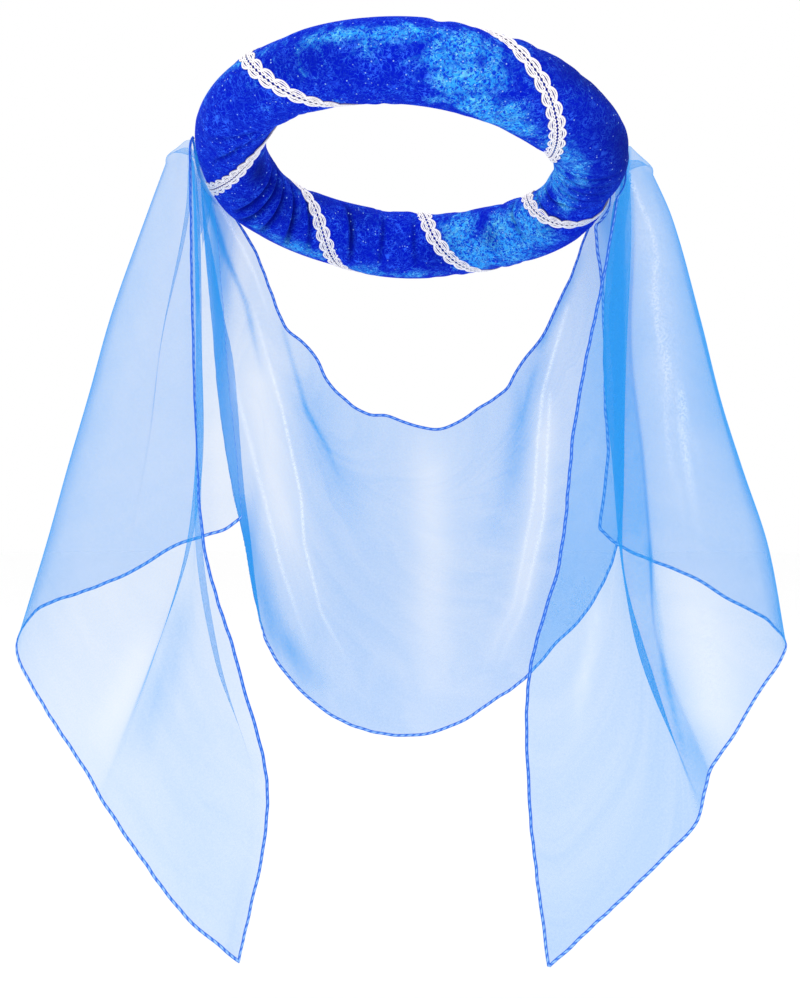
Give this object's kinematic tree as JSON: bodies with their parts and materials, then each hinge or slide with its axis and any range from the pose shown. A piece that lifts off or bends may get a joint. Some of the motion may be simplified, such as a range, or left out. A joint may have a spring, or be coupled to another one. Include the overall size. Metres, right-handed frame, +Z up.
{
  "type": "headband with veil",
  "caption": "Padded velvet head ring wound with silver braid, with a sheer blue scarf gathered at both sides that hangs as a swag behind and as loose tails in front.",
  "frame": {"origin": "middle of the head opening, halfway through the padded ring", "axes": "+Z up as worn, the wearer faces -Y, +X is the side that is on the right in the picture"},
  "size_m": [0.4643, 0.2793, 0.5272],
  "materials": {
    "velvet": "crushed pile",
    "braid": "silvery gimp",
    "organza": "sheer, soft sheen"
  },
  "bodies": {
    "root": {"padded_ring": "velvet", "braid_trim": "braid", "veil": "organza"}
  },
  "joints": []
}
